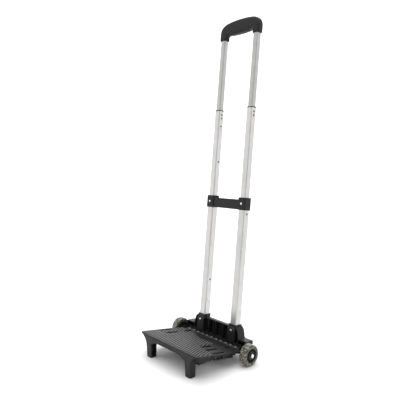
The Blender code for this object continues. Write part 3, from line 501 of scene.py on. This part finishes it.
def make_slot_shade():
    """Near-black walls inside each slot of the deck: painted shade in the slots."""
    bm = bmesh.new()
    for centre_x, centre_y, width, length in SLOTS:
        half_w = width / 2 - 0.00012
        half_l = length / 2 - 0.00012
        corners = [(-half_w, -half_l), (half_w, -half_l), (half_w, half_l), (-half_w, half_l)]
        inner = [(x * (1 - 0.0008 / half_w), y * (1 - 0.0008 / half_l)) for x, y in corners]
        rings = []
        for outline, height in ((corners, DECK_TOP - 0.0005), (inner, DECK_TOP - 0.0005),
                                (inner, DECK_TOP - 0.0090), (corners, DECK_TOP - 0.0090)):
            rings.append([bm.verts.new((centre_x + x, centre_y + y, height)) for x, y in outline])
        for here, there in zip(rings, rings[1:] + rings[:1]):
            bridge(bm, here, there)
    placed("deck_slot_shade", bm, DECK, "black_nylon", "platform", finish=SHADED_NYLON)


# ---------------------------------------------------------------- grip
def smooth_curve(points, steps):
    """Catmull-Rom curve through points, without its last point."""
    result = []
    count = len(points)
    for index in range(count - 1):
        p0 = Vector(points[max(index - 1, 0)])
        p1 = Vector(points[index])
        p2 = Vector(points[index + 1])
        p3 = Vector(points[min(index + 2, count - 1)])
        for step in range(steps):
            t = step / steps
            result.append(0.5 * (2 * p1 + (p2 - p0) * t + (2 * p0 - 5 * p1 + 4 * p2 - p3) * t * t
                                 + (3 * p1 - p0 - 3 * p2 + p3) * t ** 3))
    return result


def grip_stations():
    """Middle line of the loop grip with the half size across it, from the left foot to the right."""
    outer = [(0.0800, 0.8706), (0.0802, 0.8800), (0.0803, 0.8890), (0.0795, 0.8985), (0.0766, 0.9075),
             (0.0710, 0.9143), (0.0620, 0.9193), (0.0500, 0.9226), (0.0340, 0.9247), (0.0170, 0.9259),
             (0.0, 0.9262)]
    inner = [(0.0541, 0.8706), (0.0541, 0.8745), (0.0541, 0.8785), (0.0537, 0.8812), (0.0527, 0.8832),
             (0.0508, 0.8844), (0.0475, 0.8848), (0.0400, 0.8846), (0.0280, 0.8842), (0.0140, 0.8838),
             (0.0, 0.8836)]
    right_outer = smooth_curve(outer, 4) + [Vector(outer[-1])]
    right_inner = smooth_curve(inner, 4) + [Vector(inner[-1])]
    stations = []
    for a, b in zip(right_outer, right_inner):
        stations.append((a, b))
    left = [(Vector((-a.x, a.y)), Vector((-b.x, b.y))) for a, b in stations]
    return left + stations[-2::-1]


def grip_ring(a, b, bulge, shrink=0.0):
    """Rounded section between an outer and an inner point of the loop, seen along it."""
    middle = (a + b) / 2
    half = (a - b) / 2
    length = half.length
    direction = half / length
    points = []
    count = 40
    for index in range(count):
        angle = 2 * math.pi * index / count
        power = 0.42
        c = math.copysign(abs(math.cos(angle)) ** power, math.cos(angle))
        s = math.copysign(abs(math.sin(angle)) ** power, math.sin(angle))
        along = direction * (length - shrink) * c
        points.append(Vector((middle.x + along.x, (bulge - shrink) * s, middle.y + along.y)))
    return points


def make_grip():
    """The two shells of the grip as one smooth loop, and the button's face in its underside."""
    stations = grip_stations()
    bm = bmesh.new()
    rings = []
    last = len(stations) - 1
    plan = [(0, 0.0016, 0.0), (0, 0.0004, 0.0008), (0, 0.0, 0.0022)]
    for index, shrink, lift in plan:
        a, b = stations[index]
        up = Vector((0, lift))
        rings.append(grip_ring(a + up, b + up, GRIP_HALF_DEPTH, shrink))
    for index in range(2, last - 1):
        a, b = stations[index]
        rings.append(grip_ring(a, b, GRIP_HALF_DEPTH))
    for index, shrink, lift in plan[::-1]:
        a, b = stations[last - index]
        up = Vector((0, lift))
        rings.append(grip_ring(a + up, b + up, GRIP_HALF_DEPTH, shrink))
    verts = [[bm.verts.new(point) for point in ring] for ring in rings]
    for here, there in zip(verts, verts[1:]):
        bridge(bm, here, there)
    bm.faces.new(verts[0])
    bm.faces.new(verts[-1])
    placed("grip_loop", bm, POLE, "grip_plastic", "top_stage", ["grip_front", "grip_back"], degrees=50)

    bm = bmesh.new()
    outline = []
    for x in range(-36, 37, 3):
        outline.append((x / 1000, 0.8832 - 0.0012 * (1 - (x / 36) ** 2)))
    outline += [(0.0365, 0.8900), (-0.0365, 0.8900)]
    plate(bm, outline, -0.0062, 0.0062, ALONG_Y)
    button = placed("button_face", bm, POLE, "grip_plastic", "release")
    soften(button, 0.0010, 3)


# ---------------------------------------------------------------- studio
def area_light(name, location, target, size, power, size_y=None):
    data = bpy.data.lights.new(name, "AREA")
    data.energy = power
    data.shape = "RECTANGLE"
    data.size = size
    data.size_y = size_y or size
    light = bpy.data.objects.new(name, data)
    bpy.context.scene.collection.objects.link(light)
    light.location = location
    aim = Vector(target) - Vector(location)
    light.rotation_euler = aim.to_track_quat("-Z", "Y").to_euler()
    return light


def make_hole_shade():
    """Low black discs over the drilled holes, and collars round the lock pins, all near-black: painted
    shade of the holes.
    """
    head = MIDDLE_HEAD
    rows = (("outer", "base", OUTER_WIDTH, ((CROSS_HOLE, -1, 0.0),), ((MIDDLE_PIN, 1, 0.0021),)),
            ("middle", "middle_stage", MIDDLE_WIDTH,
             ((head - 0.1610, -1, 0.0), (head - 0.0480, -1, 0.0), (head - 0.0227, -1, 0.0),
              (head - 0.0116, -1, 0.0), (head - 0.0116, 1, 0.0)),
             ((head - 0.0227, 1, 0.0021),)))
    for stage, body, width, plugs, collars in rows:
        bm = bmesh.new()
        for _, side in SIDES:
            for height, outward, inner in plugs + collars:
                facing = side * outward
                face = Matrix.Translation((side * POLE_X + facing * width / 2, 0, height))
                face = face @ Matrix.Diagonal((facing, 1, 1, 1))
                if inner:
                    spin(bm, [(0.0030, -0.0002), (0.0030, 0.0001), (0.0028, 0.00018),
                              (inner, 0.00018), (inner, -0.0002)], 24, face)
                else:
                    across = face @ Matrix.Rotation(math.radians(90), 4, "Y")
                    bmesh.ops.create_cone(bm, cap_ends=True, segments=24, radius1=0.0029,
                                          radius2=0.0029, depth=0.00036, matrix=across)
        # near-black discs and collars: painted shade in the tubes' holes
        placed("hole_shade_" + stage, bm, POLE, "black_nylon", body, finish=SHADED_NYLON)


def make_studio():
    nodes = Nodes("studio_floor")
    speckle = nodes.noise(30.0, 4.0)
    nodes.link(nodes.ramp(speckle, ((0.3, grey(0.90)), (0.7, grey(0.93)))), "Base Color")
    white = nodes.set(Roughness=0.9, Specular_IOR_Level=0.1)
    bm = bmesh.new()
    forward = Vector((-math.sin(CAMERA_HEADING), math.cos(CAMERA_HEADING), 0))
    right = Vector((forward.y, -forward.x, 0))
    path = [(-3.0, 0.0), (1.6, 0.0)]
    for step in range(1, 13):
        angle = math.radians(90 * step / 12)
        path.append((1.6 + 1.2 * math.sin(angle), 1.2 - 1.2 * math.cos(angle)))
    path.append((2.8, 2.6))
    rows = []
    for reach, height in path:
        row = []
        for across in (-5.0, 5.0):
            point = forward * reach + right * across
            row.append(bm.verts.new((point.x, point.y, height)))
        rows.append(row)
    for near, far in zip(rows, rows[1:]):
        bm.faces.new((near[0], near[1], far[1], far[0]))
    bmesh.ops.recalc_face_normals(bm, faces=bm.faces)
    mesh = bpy.data.meshes.new("studio_sweep")
    bm.to_mesh(mesh)
    bm.free()
    mesh.materials.append(white)
    sweep = bpy.data.objects.new("studio_sweep", mesh)
    mesh.shade_smooth()
    bpy.context.scene.collection.objects.link(sweep)

    world = bpy.data.worlds.new("studio_world")
    world.use_nodes = True
    background = world.node_tree.nodes["Background"]
    background.inputs["Color"].default_value = (1.0, 1.0, 1.0, 1.0)
    background.inputs["Strength"].default_value = 0.76
    bpy.context.scene.world = world

    area_light("overhead", (0.1, -0.2, 2.7), (0, 0, 0.2), 2.8, 34)
    area_light("left_panel", (-1.9, -1.5, 1.1), (0, 0, 0.5), 1.4, 6, 2.2)
    area_light("right_panel", (1.9, 1.3, 1.1), (0, 0, 0.5), 1.5, 8, 2.2)
    area_light("backdrop_wash", (-0.9, 0.8, 2.8), (-2.0, 1.9, 0.8), 2.4, 55, 1.2)
    bpy.context.scene.view_settings.view_transform = "Standard"


def make_camera():
    data = bpy.data.cameras.new("main_camera")
    data.lens = 40.0
    data.sensor_width = 36.0
    camera = bpy.data.objects.new("main_camera", data)
    camera.location = (0.9475, -0.9065, 0.5720)
    camera.rotation_euler = (math.radians(90 - 4.79), 0, CAMERA_HEADING)
    bpy.context.scene.collection.objects.link(camera)
    bpy.context.scene.camera = camera


# ---------------------------------------------------------------- build
dress_cad_nodes()
for node_name, width in (("deck", 0.0006), ("base_bracket", 0.0005), ("crossbar", 0.0007)):
    soften(frame["nodes"][node_name], width)
for side_name, side_sign in SIDES:
    make_wheel(side_name, side_sign)
make_ribs()
make_knuckle_highlights()
make_slot_rims()
make_slot_shade()
make_grip()
make_hole_shade()
make_studio()
make_camera()
